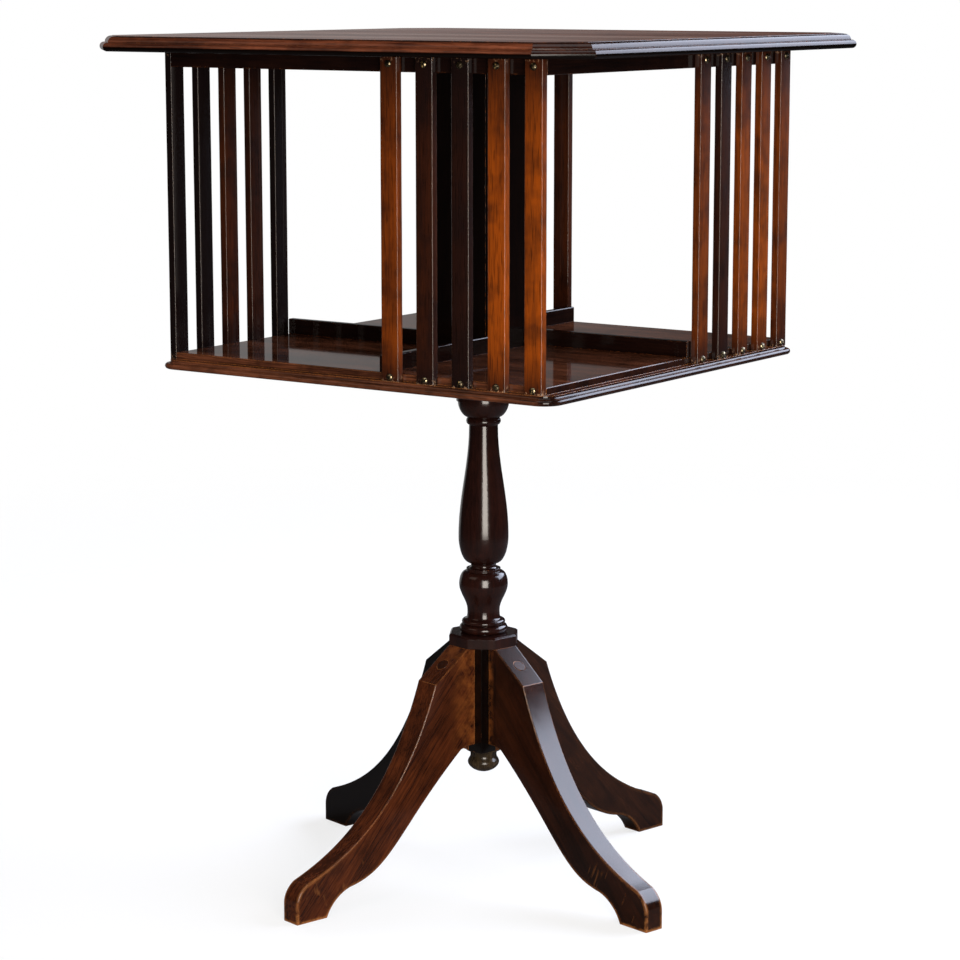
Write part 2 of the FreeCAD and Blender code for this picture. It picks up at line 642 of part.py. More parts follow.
# A screw goes in square to the leg's sloping top, and a wooden pellet covers its head.
slope_run = LEG_SHOULDER_REACH - OCTAGON_HALF
slope_drop = COLLAR_BASE - LEG_SHOULDER_HEIGHT
slope_length = math.hypot(slope_run, slope_drop)
inward = V(-slope_drop / slope_length, 0, -slope_run / slope_length)
pellet_place = V(OCTAGON_HALF + slope_run * PELLET_PLACE, 0, COLLAR_BASE - slope_drop * PELLET_PLACE)
pellet = aim(cylinder(PELLET_R, -PELLET_PROUD, PELLET_DEPTH), pellet_place, inward)
leg_screw = cylinder(LEG_SCREW_HEAD_R, 0, LEG_SCREW_HEAD).fuse(cylinder(LEG_SCREW_R, 0, LEG_SCREW_LENGTH))
leg_screw = aim(leg_screw, pellet_place + inward * PELLET_DEPTH, inward)
leg = leg.cut(pellet).cut(leg_screw)
for quarter in range(4):
    column = column.cut(quarter_turn(dovetail, quarter)).cut(quarter_turn(leg_screw, quarter))

# The pendant under the block, with its dowel: a rim, a neck and a ball that ends in a blunt point.
rim_in = PENDANT_R - PENDANT_RIM_STEP
neck_place = (PENDANT_NECK_R, -PENDANT_NECK_DOWN)
ball_place = (PENDANT_BALL_R, -PENDANT_BALL_DOWN)
tip = (0, -PENDANT_LENGTH)
neck_pole = (PENDANT_NECK_R, PENDANT_RIM_STEP - PENDANT_NECK_DOWN)
pendant = turned([
    (0, PENDANT_DOWEL),
    (PENDANT_DOWEL_R, PENDANT_DOWEL),
    (PENDANT_DOWEL_R, 0),
    (PENDANT_R, 0),
    (PENDANT_R, -PENDANT_RIM),
    (rim_in, -PENDANT_RIM),
    ("cubic", [(PENDANT_NECK_R, -PENDANT_RIM), neck_pole, neck_place]),
    upright_curve(neck_place, ball_place),
    ("cubic", [(PENDANT_BALL_R, (ball_place[1] + tip[1]) / 2), (PENDANT_BALL_R / 2, tip[1]), tip]),
])
pendant.translate(V(0, 0, BLOCK_HEIGHT))
column = column.cut(pendant)

# The pedestal stands turned from the case, as it was left when the case was last turned.
def stand(shape):
    stood = shape.copy()
    stood.rotate(ORIGIN, Z_AXIS, LEG_TURN)
    return stood


parts["column"] = stand(column)
parts["pendant"] = stand(pendant)
parts["leg_pellets"] = compound([stand(quarter_turn(pellet, quarter)) for quarter in range(4)])
parts["leg_screws"] = compound([stand(quarter_turn(leg_screw, quarter)) for quarter in range(4)])
for quarter in range(4):
    parts["leg_%d" % (quarter + 1)] = stand(quarter_turn(leg, quarter))

os.makedirs("parts", exist_ok=True)
for name, shape in parts.items():
    solids = shape.Solids
    state = "valid" if shape.isValid() else "NOT VALID"
    print("%-22s %2d solids %9.0f mm3 %s" % (name, len(solids), shape.Volume, state))
    if len(solids) == 1:
        shape = solids[0]
    shape.exportStep("parts/%s.step" % name)
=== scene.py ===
# %% [markdown]
# # A revolving bookcase in French-polished mahogany
# The bookcase is a slatted case that turns on a pedestal with a turned column and four swept legs.
# Its joinery comes in ready-made from the imported model, which keeps its shape.
# What is done here is the finish: wood that differs from piece to piece, polish, wear and brass.

# %% Load the frame
import bpy
import math
import random
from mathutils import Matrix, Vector


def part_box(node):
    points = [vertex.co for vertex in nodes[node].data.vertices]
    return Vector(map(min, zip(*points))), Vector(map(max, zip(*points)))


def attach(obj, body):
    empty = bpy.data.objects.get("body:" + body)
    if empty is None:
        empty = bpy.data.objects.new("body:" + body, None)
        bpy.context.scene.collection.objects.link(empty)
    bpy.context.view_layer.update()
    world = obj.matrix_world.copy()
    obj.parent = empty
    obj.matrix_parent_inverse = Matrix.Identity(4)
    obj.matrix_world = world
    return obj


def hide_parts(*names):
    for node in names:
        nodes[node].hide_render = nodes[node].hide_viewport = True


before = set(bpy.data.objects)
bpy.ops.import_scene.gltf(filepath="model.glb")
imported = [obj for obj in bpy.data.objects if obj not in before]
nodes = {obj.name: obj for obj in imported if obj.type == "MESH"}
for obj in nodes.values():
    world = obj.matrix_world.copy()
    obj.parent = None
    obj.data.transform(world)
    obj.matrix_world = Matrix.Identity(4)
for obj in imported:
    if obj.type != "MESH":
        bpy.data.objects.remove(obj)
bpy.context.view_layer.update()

# %% [markdown]
# ## Small tools
# Blender works in metres and in linear colour. Sizes are easier to read in millimetres, and colours as
# the sRGB hex values that a paint chart gives, so two short functions turn them into what Blender wants.
# A third adds a node, sets its options, and gives each socket a value or a link.

# %% Lengths, colours and nodes
MM = 0.001


def pattern_scale(size_mm):
    """The scale at which a texture in metres repeats about every size_mm millimetres."""
    return 1.0 / (size_mm * MM)


def srgb(hex_text):
    """Linear RGBA for a colour such as '#7a3b1a'."""
    channels = [int(hex_text[i:i + 2], 16) / 255 for i in (1, 3, 5)]
    linear = [c / 12.92 if c <= 0.04045 else ((c + 0.055) / 1.055) ** 2.4 for c in channels]
    return (*linear, 1.0)


def add_node(tree, kind, sockets=None, **options):
    """Add a node. Each socket, by name or number, gets a value or a link from another node's output."""
    node = tree.nodes.new(kind)
    for option, value in options.items():
        setattr(node, option, value)
    for key, value in (sockets or {}).items():
        if isinstance(value, bpy.types.NodeSocket):
            tree.links.new(value, node.inputs[key])
        else:
            node.inputs[key].default_value = value
    return node


print("10 mm pattern scale:", pattern_scale(10))

# %% [markdown]
# ## The camera
# A photograph fixes the camera once enough corners of known size are found in it. This one stands a
# little over two and a half metres off, just above the height of the top, and looks down at the middle
# of the column. So the top is seen almost edge on, and the legs from well above.

# %% Place the camera
CAMERA_AZIMUTH = math.radians(34.42)
CAMERA_DISTANCE = 2503.8 * MM
CAMERA_HEIGHT = 812.6 * MM
CAMERA_PITCH = math.radians(10.09)
FRAME_PIXELS = 960
FOCAL_PIXELS = 2815.0
CENTRE_PIXEL = 483.5
SENSOR_MM = 36.0

camera_data = bpy.data.cameras.new("camera")
camera = bpy.data.objects.new("camera", camera_data)
bpy.context.scene.collection.objects.link(camera)
bpy.context.scene.camera = camera
camera_data.sensor_width = SENSOR_MM
camera_data.lens = FOCAL_PIXELS / FRAME_PIXELS * SENSOR_MM
camera_data.shift_x = (FRAME_PIXELS / 2 - CENTRE_PIXEL) / FRAME_PIXELS
toward_camera = Vector((math.sin(CAMERA_AZIMUTH), -math.cos(CAMERA_AZIMUTH), 0))
camera.location = toward_camera * CAMERA_DISTANCE + Vector((0, 0, CAMERA_HEIGHT))
camera.rotation_euler = (math.pi / 2 - CAMERA_PITCH, 0, CAMERA_AZIMUTH)
print("lens:", round(camera_data.lens, 2), "mm")

# %% [markdown]
# ## Studio light
# Polished wood is mostly seen by what it mirrors. A tall softbox beside the camera draws the thin upright
# highlight on the column. A cool window far to the right gives the second, bluish one, and lights the
# right-hand mouldings and the top of the leg below them. A panel overhead and a weak pane on the left lift
# the shaded sides. A last lamp lifts the back, and is hidden from mirrored rays, because a dark, saturated
# wood colour needs something dark to mirror.

# %% Lamps
AIM_HEIGHT = 350 * MM


def softbox(name, turn, elevation, distance, size, watts, colour, mirrored=True):
    """A lamp that faces the bookcase from turn degrees to the right of the camera."""
    lamp = bpy.data.lights.new(name, "AREA")
    lamp.shape = "RECTANGLE"
    lamp.size, lamp.size_y = size
    lamp.energy = watts
    lamp.color = srgb(colour)[:3]
    holder = bpy.data.objects.new(name, lamp)
    bpy.context.scene.collection.objects.link(holder)
    azimuth = CAMERA_AZIMUTH + math.radians(turn)
    rise = math.radians(elevation)
    level = Vector((math.sin(azimuth), -math.cos(azimuth), 0))
    outward = level * math.cos(rise) + Vector((0, 0, math.sin(rise)))
    holder.location = outward * distance + Vector((0, 0, AIM_HEIGHT))
    holder.rotation_euler = outward.to_track_quat("Z", "Y").to_euler()
    holder.visible_camera = False
    holder.visible_glossy = mirrored
    return holder


softbox("key_softbox", turn=8, elevation=5, distance=1.7, size=(0.75, 0.95), watts=30, colour="#fff6ec")
softbox("window", turn=114, elevation=30, distance=2.0, size=(2.2, 1.15), watts=74, colour="#dfe8ff")
softbox("overhead_panel", turn=0, elevation=72, distance=2.2, size=(1.8, 1.4), watts=16, colour="#ffffff")
softbox("left_pane", turn=-62, elevation=37, distance=2.4, size=(1.5, 1.0), watts=4, colour="#ffead6")
softbox("back_fill", turn=-150, elevation=30, distance=2.6, size=(1.6, 1.4), watts=18, colour="#f2f5ff",
        mirrored=False)

# %% [markdown]
# ## Background and floor
# The page behind is white, and a nearly level mirrored ray that leaves away from the camera meets it: that
# is the grey sheen on the top. The rest of the studio is dark to mirrored rays, and a dim grey to soft
# light. The floor is white to the camera, keeps the shadow of the legs, and fades into the page.

# %% World
AMBIENT = 0.16
MIRROR_DARK = 0.02
MIRROR_PAGE = 0.6
PAGE_TURN = math.radians(-158)
BAND_FULL = math.sin(math.radians(4))
BAND_TOP = math.sin(math.radians(16))
AHEAD_START = 0.86
AHEAD_FULL = 0.97

world = bpy.data.worlds.new("studio")
bpy.context.scene.world = world
world.use_nodes = True
tree = world.node_tree
tree.nodes.clear()
rays = add_node(tree, "ShaderNodeLightPath")
direction = add_node(tree, "ShaderNodeTexCoord")
page_azimuth = CAMERA_AZIMUTH + PAGE_TURN
toward_page = (math.sin(page_azimuth), -math.cos(page_azimuth), 0)
behind = add_node(tree, "ShaderNodeVectorMath", {0: direction.outputs["Generated"], 1: toward_page},
                  operation="DOT_PRODUCT")
sky_height = add_node(tree, "ShaderNodeSeparateXYZ", {0: direction.outputs["Generated"]})
low_band = add_node(tree, "ShaderNodeMapRange", {"Value": sky_height.outputs["Z"], "From Min": BAND_TOP,
                    "From Max": BAND_FULL}, interpolation_type="SMOOTHSTEP")
ahead = add_node(tree, "ShaderNodeMapRange", {"Value": behind.outputs["Value"],
                 "From Min": AHEAD_START, "From Max": AHEAD_FULL}, interpolation_type="SMOOTHSTEP")
band = add_node(tree, "ShaderNodeMath", {0: low_band.outputs[0], 1: ahead.outputs[0]},
                operation="MULTIPLY")
mirror = add_node(tree, "ShaderNodeMapRange", {"Value": band.outputs[0], "To Min": MIRROR_DARK,
                  "To Max": MIRROR_PAGE})
page = add_node(tree, "ShaderNodeMath", {0: rays.outputs["Is Camera Ray"],
                1: rays.outputs["Is Transmission Ray"]}, operation="MAXIMUM")
unseen = add_node(tree, "ShaderNodeMix", {"Factor": rays.outputs["Is Glossy Ray"], 2: AMBIENT,
                  3: mirror.outputs["Result"]})
strength = add_node(tree, "ShaderNodeMix", {"Factor": page.outputs[0], 2: unseen.outputs[0], 3: 1.0})
sky = add_node(tree, "ShaderNodeBackground", {"Color": srgb("#ffffff"), "Strength": strength.outputs[0]})
add_node(tree, "ShaderNodeOutputWorld", {"Surface": sky.outputs[0]})
print("page: 1 to the camera,", MIRROR_PAGE, "mirrored; studio:", MIRROR_DARK, "mirrored")

# %% Floor
FLOOR_RADIUS = 2.6
FLOOR_SIDES = 64
FLOOR_BOUNCE = "#5a5856"
FADE_START = 0.7
FADE_END = 2.3
PAGE_SHARE = 0.72

bpy.ops.mesh.primitive_circle_add(vertices=FLOOR_SIDES, radius=FLOOR_RADIUS, fill_type="NGON")
floor = bpy.context.object
floor.name = "studio_floor"
paper = bpy.data.materials.new("white seamless paper")
paper.use_nodes = True
tree = paper.node_tree
tree.nodes.clear()
rays = add_node(tree, "ShaderNodeLightPath")
place = add_node(tree, "ShaderNodeTexCoord")
tint = add_node(tree, "ShaderNodeMix", {"Factor": rays.outputs["Is Camera Ray"], 6: srgb(FLOOR_BOUNCE),
                7: srgb("#ffffff")}, data_type="RGBA")
matt = add_node(tree, "ShaderNodeBsdfDiffuse", {"Color": tint.outputs[2]})
glow = add_node(tree, "ShaderNodeEmission", {"Color": srgb("#ffffff"), "Strength": 1.0})
page_share = add_node(tree, "ShaderNodeMath", {0: rays.outputs["Is Camera Ray"], 1: PAGE_SHARE},
                      operation="MULTIPLY")
lit = add_node(tree, "ShaderNodeMixShader", {0: page_share.outputs[0], 1: matt.outputs[0],
               2: glow.outputs[0]})
reach = add_node(tree, "ShaderNodeVectorMath", {0: place.outputs["Object"]}, operation="LENGTH")
fade = add_node(tree, "ShaderNodeMapRange", {"Value": reach.outputs["Value"], "From Min": FADE_START,
                "From Max": FADE_END}, interpolation_type="SMOOTHSTEP")
clear = add_node(tree, "ShaderNodeBsdfTransparent")
surface = add_node(tree, "ShaderNodeMixShader", {0: fade.outputs[0], 1: lit.outputs[0],
                   2: clear.outputs[0]})
add_node(tree, "ShaderNodeOutputMaterial", {"Surface": surface.outputs[0]})
floor.data.materials.append(paper)

bpy.context.scene.view_settings.view_transform = "Standard"
print("floor fades from", FADE_START, "to", FADE_END, "m")

# %% [markdown]
# ## Patterns and masks in wood
# Everything that shows on old wood follows either its grain or its shape. Grain is noise that is drawn out
# along one direction. Wear, dirt and fading need masks: round spots, a height, the way a face looks, and
# the arrises, which are found where a rounded normal differs from the true one.

# %% Grain and spots
GRAIN_STRETCH = 26.0
GRAIN_ROUGHNESS = 0.6
SPOT_DETAIL = 3.0
SPOT_ROUGHNESS = 0.65


def grain_pattern(tree, place, turn, size_mm, detail, stretch=GRAIN_STRETCH):
    """Noise drawn out along the grain, with threads about size_mm wide."""
    along = add_node(tree, "ShaderNodeMapping", {"Vector": place.outputs["Object"], "Rotation": turn,
                     "Scale": (1, 1, stretch)}, vector_type="TEXTURE")
    return add_node(tree, "ShaderNodeTexNoise", {"Vector": along.outputs[0], "Detail": detail,
                    "Scale": pattern_scale(size_mm), "Roughness": GRAIN_ROUGHNESS})


def spots(tree, place, size_mm, low, high, most=1.0):
    """A mask of round spots about size_mm across, from 0 to most."""
    noise = add_node(tree, "ShaderNodeTexNoise", {"Vector": place.outputs["Object"],
                     "Detail": SPOT_DETAIL, "Scale": pattern_scale(size_mm), "Roughness": SPOT_ROUGHNESS})
    mask = add_node(tree, "ShaderNodeMapRange", {"Value": noise.outputs[0], "From Min": low,
                    "From Max": high, "To Max": most})
    return mask.outputs[0]


print("grain: threads", GRAIN_STRETCH, "times as long as they are wide")

# %% Masks that follow the shape
BEVEL_SAMPLES = 6


def arris_mask(tree, radius_mm, start, full):
    """Where the surface turns within radius_mm: from 0 at a dot product of start to 1 at full."""
    rounded = add_node(tree, "ShaderNodeBevel", {"Radius": radius_mm * MM}, samples=BEVEL_SAMPLES)
    true = add_node(tree, "ShaderNodeNewGeometry")
    agree = add_node(tree, "ShaderNodeVectorMath", {0: rounded.outputs[0],
                     1: true.outputs["True Normal"]}, operation="DOT_PRODUCT")
    mask = add_node(tree, "ShaderNodeMapRange", {"Value": agree.outputs["Value"], "From Min": start,
                    "From Max": full})
    return mask.outputs[0]


def height_mask(tree, place, none_at, full_at):
    """A mask that grows from height none_at to height full_at, both in metres."""
    split = add_node(tree, "ShaderNodeSeparateXYZ", {0: place.outputs["Object"]})
    ramp = add_node(tree, "ShaderNodeMapRange", {"Value": split.outputs["Z"], "From Min": none_at,
                    "From Max": full_at})
    return ramp.outputs[0]


def facing_mask(tree, axis, start, full):
    """Where the surface faces along an axis: from 0 at a cosine of start to 1 at a cosine of full."""
    true = add_node(tree, "ShaderNodeNewGeometry")
    parts = add_node(tree, "ShaderNodeSeparateXYZ", {0: true.outputs["True Normal"]})
    mask = add_node(tree, "ShaderNodeMapRange", {"Value": parts.outputs[axis], "From Min": start,
                    "From Max": full})
    return mask.outputs[0]


print("arrises are found with", BEVEL_SAMPLES, "bevel samples")

# %% [markdown]
# ## Bare mahogany
# Mahogany is a red-brown timber with open pores that show as short dark dashes along the grain, and with
# broad light and dark stripes where the grain interlocks. Stripes and fibres together are its figure, and
# here and there the figure sinks into a dark blotch of old stain. Real pores are about a fifth of a
# millimetre wide, and real fibres are finer still. Neither would show from two and a half metres, so both
# are drawn several times too coarse.

# %% The timber
STRIPE_MM = 15.0
STRIPE_STRETCH = 9.0
STRIPE_DETAIL = 4.0
FIBRE_MM = 1.6
FIBRE_DETAIL = 3.0
FIGURE_RANGE = (0.36, 0.64)
PORE_MM = 0.8
PORE_DETAIL = 1.0
PORE_RANGE = (0.56, 0.66)
PORE_DEPTH = 0.6
PORE_COLOUR = "#0e0503"
BLOTCH_MM = 34.0
BLOTCH_RANGE = (0.46, 0.66)
TONE_SWING = 0.8
TONE_BASE = 0.55


def timber(tree, place, turn, dark, light, blotches, shade):
    """The colour of the wood, its stripes, and its figure. shade names an attribute from dark to light."""
    stripe = grain_pattern(tree, place, turn, STRIPE_MM, STRIPE_DETAIL, STRIPE_STRETCH)
    fibre = grain_pattern(tree, place, turn, FIBRE_MM, FIBRE_DETAIL)
    pore = grain_pattern(tree, place, turn, PORE_MM, PORE_DETAIL)
    both = add_node(tree, "ShaderNodeMix", {"Factor": 0.5, 2: stripe.outputs[0], 3: fibre.outputs[0]})
    figure = add_node(tree, "ShaderNodeMapRange", {"Value": both.outputs[0], "From Min": FIGURE_RANGE[0],
                      "From Max": FIGURE_RANGE[1]})
    if shade:
        tone_and_shade = add_node(tree, "ShaderNodeAttribute", attribute_name=shade)
        swing = add_node(tree, "ShaderNodeMath", {0: figure.outputs[0], 1: TONE_SWING, 2: TONE_BASE},
                         operation="MULTIPLY_ADD")
        figure = add_node(tree, "ShaderNodeMath", {0: tone_and_shade.outputs["Fac"], 1: swing.outputs[0]},
                          operation="MULTIPLY", use_clamp=True)
    plain = add_node(tree, "ShaderNodeMix", {"Factor": figure.outputs[0], 6: srgb(dark), 7: srgb(light)},
                     data_type="RGBA")
    blotch = spots(tree, place, BLOTCH_MM, *BLOTCH_RANGE, blotches)
    mottled = add_node(tree, "ShaderNodeMix", {"Factor": blotch, 6: plain.outputs[2], 7: srgb(dark)},
                       data_type="RGBA")
    pore_mask = add_node(tree, "ShaderNodeMapRange", {"Value": pore.outputs[0], "To Max": PORE_DEPTH,
                         "From Min": PORE_RANGE[0], "From Max": PORE_RANGE[1]})
    porous = add_node(tree, "ShaderNodeMix", {"Factor": pore_mask.outputs[0], 6: mottled.outputs[2],
                      7: srgb(PORE_COLOUR)}, data_type="RGBA")
    return porous.outputs[2], stripe.outputs[0], both.outputs[0]


print("mahogany: stripes", STRIPE_MM, "mm, fibres", FIBRE_MM, "mm, pores", PORE_MM, "mm")

# %% [markdown]
# ## Marks of age, and painted shade
# Light has faded the top in streaks, and the same grey streaks are a painted reflection of the page on
# the level top. Faces that look along X are darkened as painted shade. Dark bands are painted between
# given heights: under the top's bead they are painted shade. The ends of the slats are darker, with dirt
# and a painted shadow of the top, and the legs are rubbed beside the block. Each mark is a function for
# the sizes it is given. It takes the colour so far and returns the colour with the mark over it, so a
# wood can be described by the list of its marks.

# %% Streaks and painted side shade
LEVEL_RANGE = (0.95, 0.995)
STREAK_DETAIL = 4.0
STREAK_STRETCH = 7.0
STREAK_RANGE = (0.46, 0.62)
STREAK_STRENGTH = 0.42
SHEEN_AND_FADING_COLOUR = "#9c8072"
SIDE_SHADE_RANGE = (0.1, 0.4)
SIDE_SHADE_STRENGTH = 0.85
SIDE_SHADE_COLOUR = "#100808"


def sheen_and_fading_streaks(width_mm):
    """Grey streaks along the grain, on level faces: faded polish, and a painted reflection of the page."""
    def mark(tree, place, turn, colour):
        streak = grain_pattern(tree, place, turn, width_mm, STREAK_DETAIL, STREAK_STRETCH)
        fading_and_sheen = add_node(tree, "ShaderNodeMapRange", {"Value": streak.outputs[0], "From Min": STREAK_RANGE[0],
                         "From Max": STREAK_RANGE[1], "To Max": STREAK_STRENGTH})
        level_fading_and_sheen = add_node(tree, "ShaderNodeMath", {0: fading_and_sheen.outputs[0],
                          1: facing_mask(tree, "Z", *LEVEL_RANGE)}, operation="MULTIPLY", use_clamp=True)
        over = add_node(tree, "ShaderNodeMix", {"Factor": level_fading_and_sheen.outputs[0], 6: colour,
                        7: srgb(SHEEN_AND_FADING_COLOUR)}, data_type="RGBA")
        return over.outputs[2]
    return mark


def painted_side_shade(axis):
    """Painted shade: faces that look along an axis are made darker."""
    def mark(tree, place, turn, colour):
        side_shade = add_node(tree, "ShaderNodeMath", {0: facing_mask(tree, axis, *SIDE_SHADE_RANGE),
                        1: SIDE_SHADE_STRENGTH}, operation="MULTIPLY", use_clamp=True)
        over = add_node(tree, "ShaderNodeMix", {"Factor": side_shade.outputs[0], 6: colour,
                        7: srgb(SIDE_SHADE_COLOUR)}, data_type="RGBA")
        return over.outputs[2]
    return mark


# The stain kept on faces along X is painted shade.
print("faded streaks:", STREAK_STRENGTH, "at most; kept stain:", SIDE_SHADE_STRENGTH)

# %% Dirt and painted shade
BAND_EDGE = 0.4 * MM
BAND_COLOUR = "#080403"
DIRT_AND_SHADE_FOOT = 34 * MM
DIRT_AND_SHADE_HEAD = 78 * MM
DIRT_AND_SHADE_STRENGTH = 0.85


def black_band(low, high):
    """A dark band between two heights, on faces that aren't level."""
    def mark(tree, place, turn, colour):
        above = height_mask(tree, place, low - BAND_EDGE, low + BAND_EDGE)
        under = height_mask(tree, place, high + BAND_EDGE, high - BAND_EDGE)
        between = add_node(tree, "ShaderNodeMath", {0: above, 1: under}, operation="MULTIPLY", use_clamp=True)
        darkened = add_node(tree, "ShaderNodeMath", {0: between.outputs[0],
                        1: facing_mask(tree, "Z", *reversed(LEVEL_RANGE))}, operation="MULTIPLY",
                        use_clamp=True)
        over = add_node(tree, "ShaderNodeMix", {"Factor": darkened.outputs[0], 6: colour, 7: srgb(BAND_COLOUR)},
                        data_type="RGBA")
        return over.outputs[2]
    return mark


def dirt_and_shade_ends(foot, head, dirt_and_shade_colour):
    """Dirt and painted shade: darker above the height foot and below the height head, where the top's shadow
    is painted.
    """
    def mark(tree, place, turn, colour):
        at_foot = height_mask(tree, place, foot + DIRT_AND_SHADE_FOOT, foot)
        at_head = height_mask(tree, place, head - DIRT_AND_SHADE_HEAD, head)
        ends = add_node(tree, "ShaderNodeMath", {0: at_foot, 1: at_head}, operation="MAXIMUM", use_clamp=True)
        dirt_and_shade = add_node(tree, "ShaderNodeMath", {0: ends.outputs[0], 1: DIRT_AND_SHADE_STRENGTH},
                         operation="MULTIPLY", use_clamp=True)
        over = add_node(tree, "ShaderNodeMix", {"Factor": dirt_and_shade.outputs[0], 6: colour,
                        7: srgb(dirt_and_shade_colour)}, data_type="RGBA")
        return over.outputs[2]
    return mark


print("black bands end within", BAND_EDGE / MM, "mm; grime reaches", DIRT_AND_SHADE_HEAD / MM, "mm down")

# %% The rubbed roots of the legs
BLOCK_CORNER = 26 * MM
ROOT_SPOT_MM = 12.0
ROOT_RANGE = (0.38, 0.66)
ROOT_COLOUR = "#a8602c"


def rubbed_root(radius, strength):
    """Polish rubbed thin beside the block, out to radius from the column's axis."""
    def mark(tree, place, turn, colour):
        flat = add_node(tree, "ShaderNodeVectorMath", {0: place.outputs["Object"], 1: (1, 1, 0)},
                        operation="MULTIPLY")
        from_axis = add_node(tree, "ShaderNodeVectorMath", {0: flat.outputs[0]}, operation="LENGTH")
        near_block = add_node(tree, "ShaderNodeMapRange", {"Value": from_axis.outputs["Value"],
                              "From Min": radius, "From Max": BLOCK_CORNER, "To Max": strength})
        thin = add_node(tree, "ShaderNodeMath", {0: near_block.outputs[0],
                        1: spots(tree, place, ROOT_SPOT_MM, *ROOT_RANGE)}, operation="MULTIPLY",
                        use_clamp=True)
        over = add_node(tree, "ShaderNodeMix", {"Factor": thin.outputs[0], 6: colour, 7: srgb(ROOT_COLOUR)},
                        data_type="RGBA")
        return over.outputs[2]
    return mark


print("roots are rubbed from the block's corner,", BLOCK_CORNER / MM, "mm out")

# %% [markdown]
# ## Rubbed wood
# Where hands, books and shoes have worn the polish away, bare wood shows, lighter and more orange. It is
# bare along the arrises in broken lines, in spots at the ends of the slats, and in scratches and knocks
# on the feet. On the slats the bare colour is nearly white, so their lines along the arrises are a painted
# highlight as well as bare wood. These masks are made as the marks are, and the strongest wins at each point.

# %% Worn arrises and ends
PATCH_MM = 7.0
PATCH_UNWORN = (0.62, 0.74)
PATCH_GROWTH = (0.35, 0.30)
DOT_MM = 1.8
END_REACH = 6 * MM
END_SPOT_MM = 3.0
END_RANGE = (0.54, 0.66)
END_STRENGTH = 0.5


def worn_arrises(tree, place, wear, wear_mm, turned, broken):
    """Broken lines along the arrises. turned says how sharp an arris is, and broken how dotted a line."""
    low = PATCH_UNWORN[0] - PATCH_GROWTH[0] * wear
    high = PATCH_UNWORN[1] - PATCH_GROWTH[1] * wear
    patchy = add_node(tree, "ShaderNodeMath", {0: arris_mask(tree, wear_mm, *turned),
                      1: spots(tree, place, PATCH_MM, low, high)}, operation="MULTIPLY", use_clamp=True)
    dotted = add_node(tree, "ShaderNodeMath", {0: patchy.outputs[0],
                      1: spots(tree, place, DOT_MM, *broken)}, operation="MULTIPLY", use_clamp=True)
    return dotted.outputs[0]


def spotted_ends(foot, head):
    """Bare spots within a few millimetres of the heights foot and head."""
    def rub(tree, place):
        ends = add_node(tree, "ShaderNodeMath", {0: height_mask(tree, place, foot + END_REACH, foot),
                        1: height_mask(tree, place, head - END_REACH, head)}, operation="MAXIMUM",
                        use_clamp=True)
        bare = add_node(tree, "ShaderNodeMath", {0: ends.outputs[0],
                        1: spots(tree, place, END_SPOT_MM, *END_RANGE, END_STRENGTH)},
                        operation="MULTIPLY", use_clamp=True)
        return bare.outputs[0]
    return rub


print("worn lines are dotted every", DOT_MM, "mm, in patches of", PATCH_MM, "mm")

# %% Scratched and knocked feet
FOOT_WORN_HEIGHT = 62 * MM
FOOT_WORN_FULL = 0.15
SCRATCH_MM = 7.0
SCRATCH_TILT = (0.25, 0.35, 0.3)
SCRATCH_STRETCH = 7
SCRATCH_DETAIL = 2.0
SCRATCH_ROUGHNESS = 0.75
SCRATCH_RANGE = (0.58, 0.72)
CLUSTER_MM = 24.0
CLUSTER_RANGE = (0.50, 0.60)
TOE_RADIUS_MM = 5.0
TOE_TURNED = (0.995, 0.93)
TOE_SPOT_MM = 6.0
TOE_RANGE = (0.30, 0.50)


def scratched_foot(strength):
    """Clusters of slanting scratches that grow toward the floor."""
    def rub(tree, place):
        low = height_mask(tree, place, FOOT_WORN_HEIGHT, FOOT_WORN_HEIGHT * FOOT_WORN_FULL)
        slant = add_node(tree, "ShaderNodeMapping", {"Vector": place.outputs["Object"],
                         "Rotation": SCRATCH_TILT, "Scale": (1, 1, SCRATCH_STRETCH)}, vector_type="TEXTURE")
        scratch = add_node(tree, "ShaderNodeTexNoise", {"Vector": slant.outputs[0],
                           "Scale": pattern_scale(SCRATCH_MM), "Detail": SCRATCH_DETAIL,
                           "Roughness": SCRATCH_ROUGHNESS})
        lines = add_node(tree, "ShaderNodeMapRange", {"Value": scratch.outputs[0], "To Max": strength,
                         "From Min": SCRATCH_RANGE[0], "From Max": SCRATCH_RANGE[1]})
        grouped = add_node(tree, "ShaderNodeMath", {0: lines.outputs[0],
                           1: spots(tree, place, CLUSTER_MM, *CLUSTER_RANGE)}, operation="MULTIPLY",
                           use_clamp=True)
        near_floor = add_node(tree, "ShaderNodeMath", {0: grouped.outputs[0], 1: low},
                              operation="MULTIPLY", use_clamp=True)
        return near_floor.outputs[0]
    return rub


def knocked_toe(wear):
    """Wide bare edges on the foot, which shoes have rounded."""
    def rub(tree, place):
        low = height_mask(tree, place, FOOT_WORN_HEIGHT, FOOT_WORN_HEIGHT * FOOT_WORN_FULL)
        edge = add_node(tree, "ShaderNodeMath", {0: arris_mask(tree, TOE_RADIUS_MM, *TOE_TURNED), 1: low},
                        operation="MULTIPLY", use_clamp=True)
        worn = add_node(tree, "ShaderNodeMath", {0: edge.outputs[0], 1: wear}, operation="MULTIPLY",
                        use_clamp=True)
        spotty = add_node(tree, "ShaderNodeMath", {0: worn.outputs[0],
                          1: spots(tree, place, TOE_SPOT_MM, *TOE_RANGE)}, operation="MULTIPLY",
                          use_clamp=True)
        return spotty.outputs[0]
    return rub


print("feet are worn below", FOOT_WORN_HEIGHT / MM, "mm")

